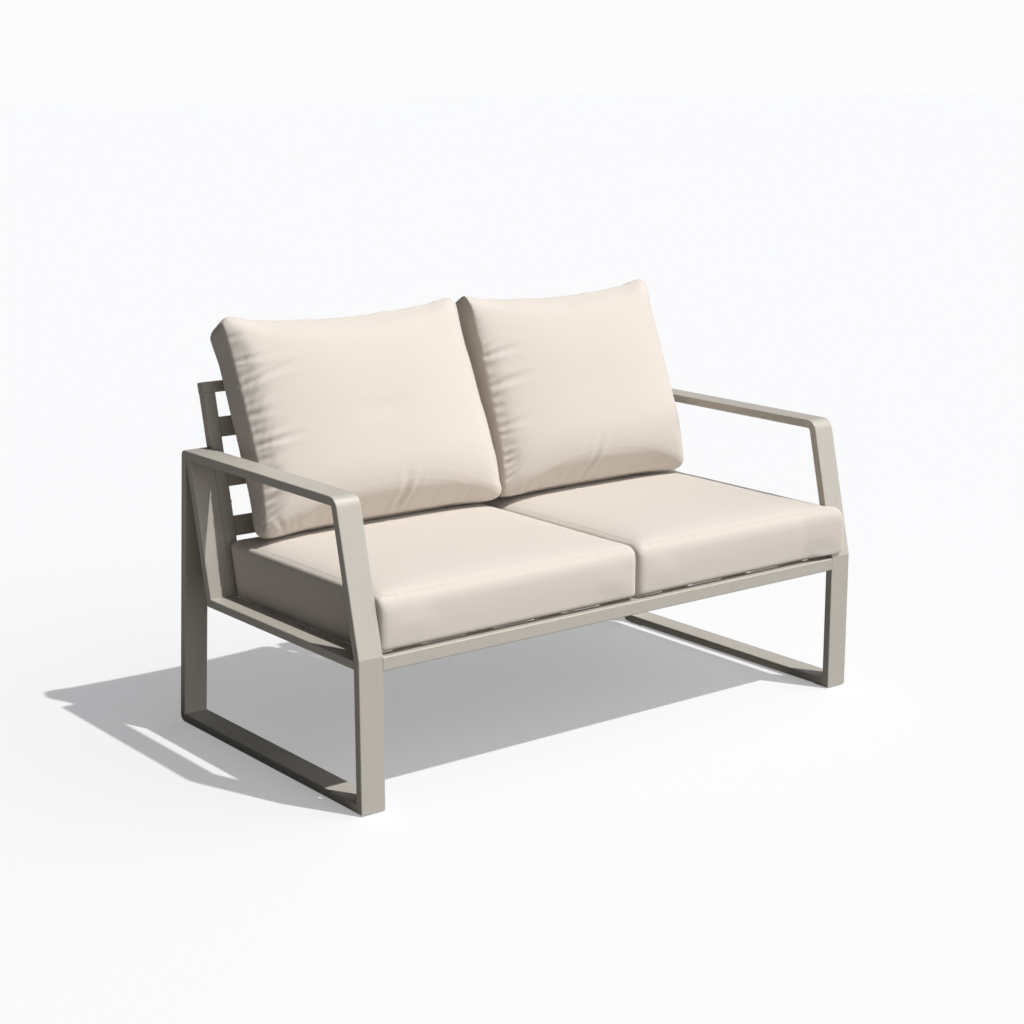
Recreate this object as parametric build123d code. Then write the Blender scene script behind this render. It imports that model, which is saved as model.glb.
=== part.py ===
from build123d import *
import math
import os

# Garden sofa for two: welded aluminium side frames, bolted seat and back frames, four loose cushions.
# Millimetres. X runs to the viewer's right, Y to the back, Z up. The origin is on the floor under the middle.

# Driving dimensions of the metal frame
overall_width = 1440
overall_depth = 772
armrest_height = 662
seat_frame_height = 333
back_frame_height = 810
lean_angle = 13
rear_leg_angle = 5

# Flat tube of the side frames
tube_width = 60
tube_thickness = 20
tube_wall = 1.8
arm_corner_radius = 28
rear_top_radius = 14
rear_foot_radius = 17

# Rounding along the edges of every extruded tube
tube_edge_radius = 2.5

# Glide pads under the runners
glide_height = 3
glide_width = 50
glide_length = 45
glide_setback = 6
glide_stem_diameter = 8
glide_stem_length = 7

# Seat frame
rail_height = 30
rail_depth = 30
rail_wall = 1.6
seat_slat_count = 7
seat_slat_width = 50
seat_slat_thickness = 15
seat_slat_wall = 1.5

# Back frame
back_post_width = 30
back_post_depth = 25
back_post_wall = 1.6
back_top_rail_height = 25
back_top_gap = 57
back_slat_count = 4
back_slat_height = 46
back_slat_foot_gap = 19.5
back_slat_thickness = 15
back_slat_wall = 1.5

# Fasteners
bolt_diameter = 6
bolt_head_diameter = 11
bolt_head_height = 3.4
bolt_head_edge = 1.4
hex_socket_width = 4
hex_socket_depth = 2
bolt_grip_length = 12
bolt_hole_diameter = 6.6
rivet_nut_diameter = 9
rivet_nut_bulge_diameter = 11.5
rivet_nut_bulge_length = 2.4
rivet_nut_length = 11
thread_clearance = 0.1
bracket_thickness = 3
bracket_leg = 40
bracket_height = 17
bracket_top_drop = 1.5
bracket_bend_radius = 2

# Seat cushions, pushed together to the right between the side frames
seat_cushion_left_gap = 10
seat_cushion_seam_shift = 38
seat_cushion_gap = 1
seat_cushion_front_setback = 3
seat_cushion_rear_gap = 7
seat_cushion_boxing = 112
seat_cushion_crown = 36
seat_cushion_corner = 20
seat_cushion_edge = 18
seat_cushion_draw = 5

# Back cushions, which stand on the seat cushions and lean on the top rail
back_cushion_left_gap = 20
back_cushion_right_gap = 18
back_cushion_seam_shift = 35
back_cushion_gap = 7
back_cushion_height = 492
back_cushion_lean_angle = 22
back_cushion_rail_clearance = 0.3
back_cushion_boxing = 79
back_cushion_crown = 58
back_cushion_rear_crown = 53
back_cushion_corner = 22
back_cushion_edge = 12
back_cushion_side_draw = 12
back_cushion_top_draw = 24
back_cushion_foot_draw = 2

# Covers, zips and fit of all cushions
cushion_clearance = 0.3
cover_thickness = 1.2
filling_clearance = 0.3
zip_length = 420
zip_width = 8
zip_slider_length = 14
zip_slider_width = 6
zip_slider_height = 2

# One overrun for every cut that has to pass right through
overrun = 5

# Shares that shape the rounded edges and the crown of a cushion
edge_angles = (0, 45, 90)
seat_dome_shares = (0.06, 0.18, 0.4, 0.65, 0.88)
back_dome_shares = (0.04, 0.13, 0.28, 0.5, 0.75, 0.92)
seat_fullness_share = 0.8
back_fullness_share = 0.72
seat_crown_at_foot_share = 0.85
dome_roundness_share = 0.85

lean = math.tan(math.radians(lean_angle))
rake = math.tan(math.radians(rear_leg_angle))
lean_stretch = 1 / math.cos(math.radians(lean_angle))
rake_stretch = 1 / math.cos(math.radians(rear_leg_angle))
back_cushion_lean = math.tan(math.radians(back_cushion_lean_angle))
half_width = overall_width / 2
half_depth = overall_depth / 2
side_frame_x = half_width - tube_width / 2
inner_x = half_width - tube_width
arm_underside = armrest_height - tube_thickness

# The rear foot's corner lies outside the depth by what its rounding takes away
rear_foot_y = half_depth + rear_foot_radius * (rake + rake_stretch - 1)

# The crease in the front post is where its rear face bends back, level with the top of the seat frame
crease_height = seat_frame_height + tube_thickness * math.tan(math.radians(lean_angle / 2))


def rear_leg_front(z):
    """Y of the front face of the raked rear leg at a height."""
    return rear_foot_y - (z - glide_height) * rake - tube_thickness * rake_stretch


def strut_rear(z):
    """Y of the rear face of the back strut, which starts in the corner of armrest and rear leg."""
    return rear_leg_front(arm_underside) - (arm_underside - z) * lean


def strut_front(z):
    """Y of the front face of the back strut, in one plane with the front of the back frame."""
    return strut_rear(z) - tube_thickness * lean_stretch


def side_outline():
    """Outer corners of the side frame seen from the side, from the front foot round to the rear foot."""
    arm_front = (armrest_height - crease_height) * lean - half_depth
    arm_rear = rear_foot_y - (armrest_height - glide_height) * rake
    return [
        Vector(0, -half_depth, glide_height),
        Vector(0, -half_depth, crease_height),
        Vector(0, arm_front, armrest_height),
        Vector(0, arm_rear, armrest_height),
        Vector(0, rear_foot_y, glide_height),
    ]


def inset_outline(corners, distance):
    """The same outline with every side moved inwards by a distance."""
    moved = []
    for index, corner in enumerate(corners):
        arriving = (corner - corners[index - 1]).normalized()
        leaving = (corners[(index + 1) % len(corners)] - corner).normalized()
        spread = arriving.cross(leaving).length
        moved.append(corner + (leaving - arriving) * (distance / spread))
    return moved


def slab(corners, width):
    """Plate of a width across X, with its middle at X zero, cut to corners in the side view."""
    face = Face(Wire.make_polygon(corners, close=True))
    return extrude(face, amount=width / 2, dir=(1, 0, 0), both=True)


def loop_slab(inset, width):
    """Plate that fills the side frame's outline less an inset, with its corners rounded to match."""
    corners = inset_outline(side_outline(), inset)
    radii = [0, 0, arm_corner_radius, rear_top_radius, rear_foot_radius]
    face = Face(Wire.make_polygon(corners, close=True))
    for corner, radius in zip(corners, radii):
        if radius > inset:
            nearest = face.vertices().sort_by_distance(corner)[0]
            face = face.fillet_2d(radius - inset, [nearest])
    return extrude(face, amount=width / 2, dir=(1, 0, 0), both=True)


def rounded_slab(corners, width):
    """Slab of a straight tube with its four long edges rounded."""
    plain = slab(corners, width)
    long_edges = plain.edges().filter_by(lambda edge: edge.length > 2 * width)
    return fillet(long_edges, tube_edge_radius)


def hollow_tube(outer_start, outer_end, inner_end, inner_start):
    """Straight flat tube with mitred open ends, from the four corners of its side view."""
    share = tube_wall / tube_thickness
    cavity = [
        outer_start + (inner_start - outer_start) * share,
        outer_end + (inner_end - outer_end) * share,
        inner_end + (outer_end - inner_end) * share,
        inner_start + (outer_start - inner_start) * share,
    ]
    tube = rounded_slab([outer_start, outer_end, inner_end, inner_start], tube_width)
    return tube - slab(cavity, tube_width - 2 * tube_wall)


def side_frame_tubes():
    """The five mitred tubes of one side frame, keyed by name, with the middle of the tube at X zero."""
    outer = side_outline()
    inner = inset_outline(outer, tube_thickness)
    cavity_width = tube_width - 2 * tube_wall
    ring = loop_slab(0, tube_width) - loop_slab(tube_thickness, tube_width)
    ring = fillet(ring.faces().filter_by(Axis.X).edges(), tube_edge_radius)
    cavity = loop_slab(tube_wall, cavity_width) - loop_slab(tube_thickness - tube_wall, cavity_width)
    wall = ring - cavity
    names = ["front_post", "arm_post", "armrest", "rear_leg", "runner"]
    tubes = {}
    for index, name in enumerate(names):
        after = (index + 1) % len(names)
        part = slab([outer[index], outer[after], inner[after], inner[index]], tube_width + 2 * overrun)
        tubes[name] = wall & part
    return tubes


def glide_places():
    """Y of the middle of the front and the rear glide."""
    front = glide_setback + glide_length / 2 - half_depth
    rear = half_depth - rear_foot_radius - glide_setback - glide_length / 2
    return [front, rear]


def glide(y):
    """Pad of hard rubber under the runner, with a stem that is pushed into the tube."""
    pad = Pos(0, y, glide_height / 2) * Box(glide_width, glide_length, glide_height)
    pad = chamfer(pad.edges().group_by(Axis.Z)[0], glide_height / 4)
    stem_height = glide_height + glide_stem_length
    stem = Pos(0, y, stem_height / 2) * Cylinder(glide_stem_diameter / 2, stem_height)
    return pad + stem


def drilled_runner(runner):
    """Runner with a hole in its lower wall for the stem of each glide."""
    for y in glide_places():
        hole = Cylinder(glide_stem_diameter / 2, glide_height + tube_wall)
        runner -= Pos(0, y, glide_height + tube_wall / 2) * hole
    return runner


def side_seat_rail():
    """Flat tube from the front post back to the strut, its rear end mitred."""
    bottom = seat_frame_height - tube_thickness
    front = tube_thickness - half_depth
    return hollow_tube(
        Vector(0, front, bottom),
        Vector(0, strut_rear(bottom), bottom),
        Vector(0, strut_front(seat_frame_height), seat_frame_height),
        Vector(0, front, seat_frame_height),
    )


def back_strut():
    """Flat tube that leans back from the seat rail into the corner under the armrest."""
    bottom = seat_frame_height - tube_thickness
    return hollow_tube(
        Vector(0, strut_rear(bottom), bottom),
        Vector(0, strut_rear(arm_underside), arm_underside),
        Vector(0, strut_front(arm_underside), arm_underside),
        Vector(0, strut_front(seat_frame_height), seat_frame_height),
    )


def rounded_bar(length, depth, height):
    """Solid bar along X with its four long edges rounded, its middle at the origin."""
    bar = Box(length, depth, height)
    return fillet(bar.edges().filter_by(Axis.X), tube_edge_radius)


def square_tube(length, depth, height, wall):
    """Tube along X with rounded edges and open ends, its middle at the origin."""
    cavity = Box(length + 2 * overrun, depth - 2 * wall, height - 2 * wall)
    return rounded_bar(length, depth, height) - cavity


def seat_rail_z():
    """Height of the middle of the front and rear seat rails."""
    return seat_frame_height - rail_height / 2


def front_rail_rear():
    """Y of the rear face of the front seat rail, whose front face is flush with the front posts."""
    return rail_depth - half_depth


def rear_rail_front():
    """Y of the front face of the rear seat rail, centred under the feet of the back posts."""
    post_foot_depth = back_post_depth * lean_stretch
    return strut_front(seat_frame_height) - (rail_depth - post_foot_depth) / 2


def front_seat_rail():
    """Square tube between the front posts."""
    y = front_rail_rear() - rail_depth / 2
    return Pos(0, y, seat_rail_z()) * square_tube(2 * inner_x, rail_depth, rail_height, rail_wall)


def rear_seat_rail():
    """Square tube that the back posts stand on."""
    y = rear_rail_front() + rail_depth / 2
    return Pos(0, y, seat_rail_z()) * square_tube(2 * inner_x, rail_depth, rail_height, rail_wall)


def seat_slat(index):
    """Flat tube from the front rail to the rear rail, flush with their tops."""
    pitch = 2 * inner_x / seat_slat_count
    x = pitch * (index + 0.5) - inner_x
    length = rear_rail_front() - front_rail_rear()
    y = front_rail_rear() + length / 2
    z = seat_frame_height - seat_slat_thickness / 2
    tube = square_tube(length, seat_slat_width, seat_slat_thickness, seat_slat_wall)
    return Pos(x, y, z) * Rot(0, 0, 90) * tube


def back_frame_place():
    """Place of the back frame: front face at its own Y zero, seat level at its own Z zero, leaning back."""
    return Location((0, strut_front(seat_frame_height), seat_frame_height), (-lean_angle, 0, 0))


def back_frame_length():
    """Length of the back frame along its slope, from the seat level to its top edge."""
    return (back_frame_height - seat_frame_height) * lean_stretch


def back_post():
    """Post of the back frame, drilled for its bolts, its foot cut level to stand on the rear rail."""
    top = back_frame_length() - back_top_rail_height
    foot = -back_post_depth * lean
    size = (back_post_width, back_post_depth, top - foot)
    cavity = (size[0] - 2 * back_post_wall, size[1] - 2 * back_post_wall, size[2] + 2 * overrun)
    x = inner_x - back_post_width / 2
    bar = Box(*size)
    bar = fillet(bar.edges().filter_by(Axis.Z), tube_edge_radius)
    post = Pos(x, back_post_depth / 2, (top + foot) / 2) * (bar - Box(*cavity))
    for z in back_bolt_places():
        hole = Cylinder(bolt_hole_diameter / 2, back_post_width + 2 * overrun)
        post -= Pos(x, tube_thickness / 2, z) * Rot(0, 90, 0) * hole
    below = Pos(x, 0, seat_frame_height - rail_height / 2) * Box(2 * rail_height, overall_depth, rail_height)
    return back_frame_place() * post - below


def back_top_rail():
    """Closed tube across the tops of both posts."""
    length = 2 * inner_x
    cavity = Box(
        length - 2 * back_post_wall,
        back_post_depth - 2 * back_post_wall,
        back_top_rail_height - 2 * back_post_wall,
    )
    rail = rounded_bar(length, back_post_depth, back_top_rail_height) - cavity
    z = back_frame_length() - back_top_rail_height / 2
    return back_frame_place() * Pos(0, back_post_depth / 2, z) * rail


def first_back_slat_top():
    """Height of the top edge of the uppermost back slat along the slope."""
    return back_frame_length() - back_top_rail_height - back_top_gap


def back_slat_gap():
    """Open height between two back slats, which are spread evenly down to just above the seat frame."""
    spread = first_back_slat_top() - back_slat_foot_gap
    return (spread - back_slat_count * back_slat_height) / (back_slat_count - 1)


def back_slat_top(index):
    """Height of the top edge of a back slat along the slope, counted from the top one."""
    return first_back_slat_top() - index * (back_slat_height + back_slat_gap())


def back_slat(index):
    """Flat tube between the posts, flush with their front faces."""
    length = 2 * (inner_x - back_post_width)
    tube = square_tube(length, back_slat_thickness, back_slat_height, back_slat_wall)
    z = back_slat_top(index) - back_slat_height / 2
    return back_frame_place() * Pos(0, back_slat_thickness / 2, z) * tube


def back_bolt_places():
    """Heights of the back bolts along the slope, in the middle of the two lowest gaps between slats."""
    first = back_slat_count - 2
    drop = back_slat_height + back_slat_gap() / 2
    return [back_slat_top(index) - drop for index in (first, first - 1)]


def bolt(grip):
    """Button-head bolt with a hex socket: head seat at the origin, shank along -Z."""
    head = Pos(0, 0, bolt_head_height / 2) * Cylinder(bolt_head_diameter / 2, bolt_head_height)
    head = fillet(head.edges().group_by(Axis.Z)[-1], bolt_head_edge)
    socket = RegularPolygon(hex_socket_width / 2, 6, major_radius=False)
    head -= Pos(0, 0, bolt_head_height - hex_socket_depth) * extrude(socket, amount=hex_socket_depth)
    shank = Pos(0, 0, -grip / 2) * Cylinder(bolt_diameter / 2, grip)
    return head + shank


def rivet_nut():
    """Threaded sleeve set in a tube wall: mouth at the origin, bulged behind the wall, body along -Z."""
    body = Pos(0, 0, -rivet_nut_length / 2) * Cylinder(rivet_nut_diameter / 2, rivet_nut_length)
    bulge_z = -tube_wall - rivet_nut_bulge_length / 2
    body += Pos(0, 0, bulge_z) * Cylinder(rivet_nut_bulge_diameter / 2, rivet_nut_bulge_length)
    return body - Cylinder(bolt_diameter / 2 + thread_clearance, 2 * rivet_nut_length + 2 * overrun)


def into_side(x, y, z):
    """Place on a face that looks inwards at +X: own +Z points to the middle of the sofa."""
    return Location((x, y, z), (0, -90, 0))


def back_bolt_points():
    """Points on the inner face of the right strut where the back bolts enter it."""
    own = [Location((inner_x, tube_thickness / 2, z)) for z in back_bolt_places()]
    return [(back_frame_place() * place).position for place in own]


def side_bolt_points():
    """Points on the inner face of the right side seat rail where the corner brackets are bolted on."""
    z = bracket_middle()
    reach = bracket_thickness + (bracket_leg - bracket_thickness) / 2
    return [Vector(inner_x, front_rail_rear() + reach, z), Vector(inner_x, rear_rail_front() - reach, z)]


def bracket_middle():
    """Height of the middle of the corner brackets, which stay below the seat level."""
    return seat_frame_height - bracket_top_drop - bracket_height / 2


def rail_bolt_points():
    """Points on the rails' faces towards the seat where the brackets are bolted on, with the way out."""
    x = inner_x - bracket_thickness - (bracket_leg - bracket_thickness) / 2
    z = bracket_middle()
    return [(Vector(x, front_rail_rear(), z), 1), (Vector(x, rear_rail_front(), z), -1)]


def into_rail(point, way):
    """Place on a rail's face towards the seat: own +Z points to the seat's middle."""
    return Location((point.X, point.Y, point.Z), (-90 * way, 0, 0))


def side_pockets(wall_hole):
    """Cutters at every rivet nut in the inner wall of the right side frame, at their real places."""
    cutter = Cylinder(wall_hole / 2, 2 * (tube_wall + overrun / 2))
    return [into_side(p.X, p.Y, p.Z) * cutter for p in back_bolt_points() + side_bolt_points()]


def drilled_rail(rail):
    """Seat rail with holes for the rivet nuts of its four bolts."""
    cutter = Cylinder(rivet_nut_diameter / 2, 2 * (tube_wall + overrun / 2))
    for point, way in rail_bolt_points():
        hole = into_rail(point, way) * cutter
        rail = rail - hole - mirror(hole, about=Plane.YZ)
    return rail


def corner_bracket(point, way):
    """Bent steel angle in the corner of a rail and the side seat rail, at the right of the sofa."""
    leg_middle = bracket_leg / 2
    corner = Vector(inner_x, point.Y, bracket_middle())
    flat = Pos(-leg_middle, way * bracket_thickness / 2, 0) * Box(bracket_leg, bracket_thickness, bracket_height)
    side = Pos(-bracket_thickness / 2, way * leg_middle, 0) * Box(bracket_thickness, bracket_leg, bracket_height)
    angle = flat + side
    inside = angle.edges().filter_by(Axis.Z).sort_by_distance((-bracket_thickness, way * bracket_thickness, 0))[0]
    angle = fillet(inside, bracket_bend_radius)
    hole_at = bracket_thickness + (bracket_leg - bracket_thickness) / 2
    hole = Cylinder(bolt_hole_diameter / 2, 2 * (bracket_thickness + overrun))
    angle -= Pos(-hole_at, 0, 0) * Rot(90, 0, 0) * hole
    angle -= Pos(0, way * hole_at, 0) * Rot(0, 90, 0) * hole
    return Pos(corner.X, corner.Y, corner.Z) * angle


def both_sides(pieces):
    """Pieces made for the right side, with their mirror images for the left."""
    return pieces + [mirror(piece, about=Plane.YZ) for piece in pieces]


def fasteners():
    """All corner brackets, bolts and rivet nuts, keyed by node, each a group of separate solids."""
    short_grip = bracket_thickness + bolt_grip_length
    long_grip = back_post_width + bolt_grip_length
    side_head = inner_x - bracket_thickness
    seat_bolts = [into_side(side_head, p.Y, p.Z) * bolt(short_grip) for p in side_bolt_points()]
    nuts = [into_side(p.X, p.Y, p.Z) * rivet_nut() for p in side_bolt_points() + back_bolt_points()]
    brackets = []
    for point, way in rail_bolt_points():
        head = point + Vector(0, way * bracket_thickness, 0)
        seat_bolts.append(into_rail(head, way) * bolt(short_grip))
        nuts.append(into_rail(point, way) * rivet_nut())
        brackets.append(corner_bracket(point, way))
    post_head = inner_x - back_post_width
    back_bolts = [into_side(post_head, p.Y, p.Z) * bolt(long_grip) for p in back_bolt_points()]
    groups = {
        "seat_corner_brackets": brackets,
        "seat_frame_bolts": seat_bolts,
        "back_frame_bolts": back_bolts,
        "rivet_nuts": nuts,
    }
    return {name: Compound(children=both_sides(pieces)) for name, pieces in groups.items()}


def cushion_outline(x_half, low, high, corner, side_draw, foot_draw, top_draw):
    """Outline of a cushion: four edges drawn in at the middle, joined by round corners."""
    turn = corner * (1 - math.cos(math.radians(45)))
    middle = (low + high) / 2
    side = x_half - corner
    half = [
        ThreePointArc((0, low + foot_draw), (side / 2, low + foot_draw * 0.75), (side, low)),
        ThreePointArc((side, low), (x_half - turn, low + turn), (x_half, low + corner)),
        ThreePointArc((x_half, low + corner), (x_half - side_draw, middle), (x_half, high - corner)),
        ThreePointArc((x_half, high - corner), (x_half - turn, high - turn), (side, high)),
        ThreePointArc((side, high), (side / 2, high - top_draw * 0.75), (0, high - top_draw)),
    ]
    other = [mirror(edge, about=Plane.YZ) for edge in half]
    return make_face(half + other)


def dome_rows(crown, edge, reach, shares, fullness):
    """Heights of a crown over its seam with their insets and dome shares, from the seam to the middle."""
    rows = []
    for share in shares:
        height = crown * math.sin(math.radians(90 * share)) ** fullness
        rows.append((height, edge + share * (reach - edge), share))
    return rows


def cushion_profile(boxing, crowns, edge, reach, shares, fullness):
    """Levels of a cushion's sections with their insets and dome shares, from its rear or foot upwards."""
    lower, upper = [dome_rows(crown, edge, reach, shares, fullness) for crown in crowns]
    rows = [(-height, inset, share) for height, inset, share in reversed(lower) if height > 0]
    for angle in edge_angles:
        rise = math.radians(angle)
        rows.append((edge * (1 - math.cos(rise)), edge * (1 - math.sin(rise)), 0))
    for angle in edge_angles:
        rise = math.radians(angle)
        rows.append((boxing - edge * (1 - math.sin(rise)), edge * (1 - math.cos(rise)), 0))
    return rows + [(boxing + height, inset, share) for height, inset, share in upper]


def cushion_form(plane, size, skin, shares, fullness, slopes):
    """Boxed cushion with crowned panels: ruled loft through outlines that rise from the plane.

    size holds width, height, boxing, rear crown, crown, corner, edge and the draws of side, foot and
    top. slopes say how fast the foot and the top of the boxing move down and up as it rises. A skin
    moves the whole form inwards, for what lies inside the cover.
    """
    width, height, boxing, rear_crown, crown, corner, edge, side_draw, foot_draw, top_draw = size
    foot_slope, top_slope = slopes
    reach = min(width, height) / 2
    crowns = (rear_crown, crown)
    rows = cushion_profile(boxing - 2 * skin, crowns, edge - skin, reach - skin, shares, fullness)
    sections = []
    for level, inset, share in rows:
        seam_level = min(max(level + skin, 0), boxing)
        low = skin + inset - seam_level * foot_slope
        high = height - skin - inset + seam_level * top_slope
        x_half = width / 2 - skin - inset
        smaller = min(x_half, (high - low) / 2)
        radius = (corner - skin) * (1 - share) + share * dome_roundness_share * smaller
        fade = 1 - share
        face = cushion_outline(
            x_half,
            low,
            high,
            radius,
            side_draw * fade + skin * share,
            foot_draw * fade + skin * share,
            top_draw * fade + skin * share,
        )
        sections.append(plane.offset(level + skin) * face)
    return loft(sections, ruled=True)


def seat_cushion_span(way):
    """X of both sides of a seat cushion: way is -1 for the left one and 1 for the right one."""
    seam = seat_cushion_seam_shift + way * seat_cushion_gap / 2
    if way < 0:
        return seat_cushion_left_gap - inner_x, seam
    return seam, inner_x - cushion_clearance


def seat_cushion_front():
    """Y of the front of the seat cushions, just behind the face of the front rail."""
    return seat_cushion_front_setback - half_depth


def seat_cushion_form(way, skin):
    """Seat cushion on the slats, its rear end parallel to the back frame."""
    start, end = seat_cushion_span(way)
    base = seat_frame_height + cushion_clearance
    size = (
        end - start,
        strut_front(base) - seat_cushion_rear_gap - seat_cushion_front(),
        seat_cushion_boxing,
        0,
        seat_cushion_crown,
        seat_cushion_corner,
        seat_cushion_edge,
        seat_cushion_draw,
        seat_cushion_draw,
        seat_cushion_draw,
    )
    plane = Plane(origin=((start + end) / 2, seat_cushion_front(), base), x_dir=(1, 0, 0), z_dir=(0, 0, 1))
    return cushion_form(plane, size, skin, seat_dome_shares, seat_fullness_share, (0, lean))


def back_cushion_span(way):
    """X of both sides of a back cushion, which stays over its own seat cushion so that each pair lifts off."""
    seam = back_cushion_seam_shift + way * back_cushion_gap / 2
    if way < 0:
        return back_cushion_left_gap - inner_x, seam
    return seam, inner_x - back_cushion_right_gap


def rear_crown_at(slope_height, width):
    """Depth of a back cushion's rear crown at a height up its own slope."""
    reach = min(width, back_cushion_height) / 2
    inset = min(slope_height, back_cushion_height - slope_height)
    share = min(max((inset - back_cushion_edge) / (reach - back_cushion_edge), 0), 1)
    return back_cushion_rear_crown * math.sin(math.radians(90 * share)) ** back_fullness_share


def back_cushion_foot_y(foot_z, width):
    """Y of the foot of the rear seam, where the rear crown just clears both edges of the top rail."""
    tilt = math.radians(back_cushion_lean_angle)
    rail_foot = back_frame_height - back_top_rail_height / lean_stretch
    places = []
    for edge_z in (rail_foot, back_frame_height):
        depth = back_cushion_rear_crown
        for repeat in range(3):
            slope_height = (edge_z - foot_z + depth * math.sin(tilt)) / math.cos(tilt)
            depth = rear_crown_at(slope_height, width)
        places.append(strut_front(edge_z) - slope_height * math.sin(tilt) - depth * math.cos(tilt))
    return min(places) - back_cushion_rail_clearance


def back_cushion_plane(way):
    """Plane of a back cushion's rear seam: own Y up the slope, own Z out to the front."""
    seat_edge = seat_frame_height + cushion_clearance + seat_cushion_boxing
    z = seat_edge + seat_cushion_crown * seat_crown_at_foot_share + cushion_clearance
    tilt = math.radians(back_cushion_lean_angle)
    start, end = back_cushion_span(way)
    y = back_cushion_foot_y(z, end - start)
    return Plane(
        origin=((start + end) / 2, y, z),
        x_dir=(1, 0, 0),
        z_dir=(0, -math.cos(tilt), math.sin(tilt)),
    )


def back_cushion_form(way, skin):
    """Back cushion with a level foot, its crowned rear just clear of the top rail."""
    start, end = back_cushion_span(way)
    size = (
        end - start,
        back_cushion_height,
        back_cushion_boxing,
        back_cushion_rear_crown,
        back_cushion_crown,
        back_cushion_corner,
        back_cushion_edge,
        back_cushion_side_draw,
        back_cushion_foot_draw,
        back_cushion_top_draw,
    )
    slopes = (back_cushion_lean, 0)
    return cushion_form(back_cushion_plane(way), size, skin, back_dome_shares, back_fullness_share, slopes)


def seat_zip_place(way):
    """Place of the zip in the middle of a seat cushion's rear face, which leans like the back frame."""
    middle = seat_frame_height + cushion_clearance + seat_cushion_boxing / 2
    y = strut_front(middle) - seat_cushion_rear_gap - seat_cushion_draw
    start, end = seat_cushion_span(way)
    return Location(((start + end) / 2, y, middle), (-90 - lean_angle, 0, 0))


def back_zip_place(way):
    """Place of the zip in the middle of a back cushion's level foot."""
    plane = back_cushion_plane(way)
    foot = plane.origin + plane.z_dir * (back_cushion_boxing / 2)
    drop = back_cushion_boxing / 2 * math.sin(math.radians(back_cushion_lean_angle))
    z = foot.Z - drop + back_cushion_foot_draw
    return Location((foot.X, foot.Y - drop * back_cushion_lean, z), (180, 0, 0))


def cushion_pieces(form, span, way, zip_place, draw):
    """Cover, zip and filling of one cushion, whose face is drawn in at the middle of the zip."""
    start, end = span(way)
    shell = form(way, 0) - form(way, cover_thickness)
    slot = zip_place * Box(zip_length, zip_width, 2 * (cover_thickness + seat_cushion_draw))
    slider_x = 1.5 * zip_slider_length - zip_length / 2
    slider_z = draw * (2 * slider_x / (end - start)) ** 2
    slider = Box(zip_slider_length, zip_slider_width, zip_slider_height)
    zipper = (shell & slot) + zip_place * Pos(slider_x, 0, slider_z) * slider
    return shell - slot, zipper, form(way, cover_thickness + filling_clearance)


def main():
    os.makedirs("parts", exist_ok=True)
    nodes = {}
    tubes = side_frame_tubes()
    tubes["runner"] = drilled_runner(tubes["runner"])
    tubes["side_seat_rail"] = side_seat_rail()
    tubes["back_strut"] = back_strut()
    for name, tube in tubes.items():
        placed = Pos(side_frame_x, 0, 0) * tube
        if name in ("side_seat_rail", "back_strut"):
            for pocket in side_pockets(rivet_nut_diameter):
                placed = placed - pocket
        nodes["right_" + name] = placed
        nodes["left_" + name] = mirror(placed, about=Plane.YZ)
    for name, y in zip(("front", "rear"), glide_places()):
        nodes[f"right_{name}_glide"] = Pos(side_frame_x, 0, 0) * glide(y)
        nodes[f"left_{name}_glide"] = Pos(-side_frame_x, 0, 0) * glide(y)
    nodes["front_seat_rail"] = drilled_rail(front_seat_rail())
    nodes["rear_seat_rail"] = drilled_rail(rear_seat_rail())
    for index in range(seat_slat_count):
        nodes[f"seat_slat_{index + 1}"] = seat_slat(index)
    nodes["right_back_post"] = back_post()
    nodes["left_back_post"] = mirror(back_post(), about=Plane.YZ)
    nodes["back_top_rail"] = back_top_rail()
    for index in range(back_slat_count):
        nodes[f"back_slat_{index + 1}"] = back_slat(index)
    nodes.update(fasteners())
    for side, way in (("left", -1), ("right", 1)):
        seat_zip, back_zip = seat_zip_place(way), back_zip_place(way)
        seat = cushion_pieces(seat_cushion_form, seat_cushion_span, way, seat_zip, seat_cushion_draw)
        back = cushion_pieces(back_cushion_form, back_cushion_span, way, back_zip, back_cushion_foot_draw)
        for kind, pieces in (("seat", seat), ("back", back)):
            for piece, shape in zip(("cover", "zip", "filling"), pieces):
                nodes[f"{side}_{kind}_cushion_{piece}"] = shape
    for name, shape in nodes.items():
        export_step(shape, f"parts/{name}.step")
    print(len(nodes), "nodes")


main()
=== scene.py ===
import math
import bpy
import numpy as np
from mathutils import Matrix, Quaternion, Vector


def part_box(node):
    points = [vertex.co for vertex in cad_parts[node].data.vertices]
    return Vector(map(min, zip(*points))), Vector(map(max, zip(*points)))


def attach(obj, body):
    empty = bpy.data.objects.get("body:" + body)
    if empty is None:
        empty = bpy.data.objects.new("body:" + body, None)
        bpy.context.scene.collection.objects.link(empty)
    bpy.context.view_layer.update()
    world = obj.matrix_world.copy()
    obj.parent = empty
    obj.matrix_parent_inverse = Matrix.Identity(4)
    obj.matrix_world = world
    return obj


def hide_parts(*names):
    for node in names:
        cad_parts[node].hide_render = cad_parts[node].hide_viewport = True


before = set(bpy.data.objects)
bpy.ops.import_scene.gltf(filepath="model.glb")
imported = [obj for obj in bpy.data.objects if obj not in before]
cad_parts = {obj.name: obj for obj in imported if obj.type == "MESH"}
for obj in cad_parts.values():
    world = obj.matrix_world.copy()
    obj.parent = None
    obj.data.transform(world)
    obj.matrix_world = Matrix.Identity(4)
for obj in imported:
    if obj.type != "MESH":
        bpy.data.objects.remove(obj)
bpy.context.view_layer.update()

# Side frames, rails and slats. Extruded aluminium tube, 60 by 20 mm in the side frames, cut, mitred and
# welded, the welds ground flush before one coat of fine-textured polyester powder was baked on.
coat_hex = "#BFB9AE"
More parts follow.
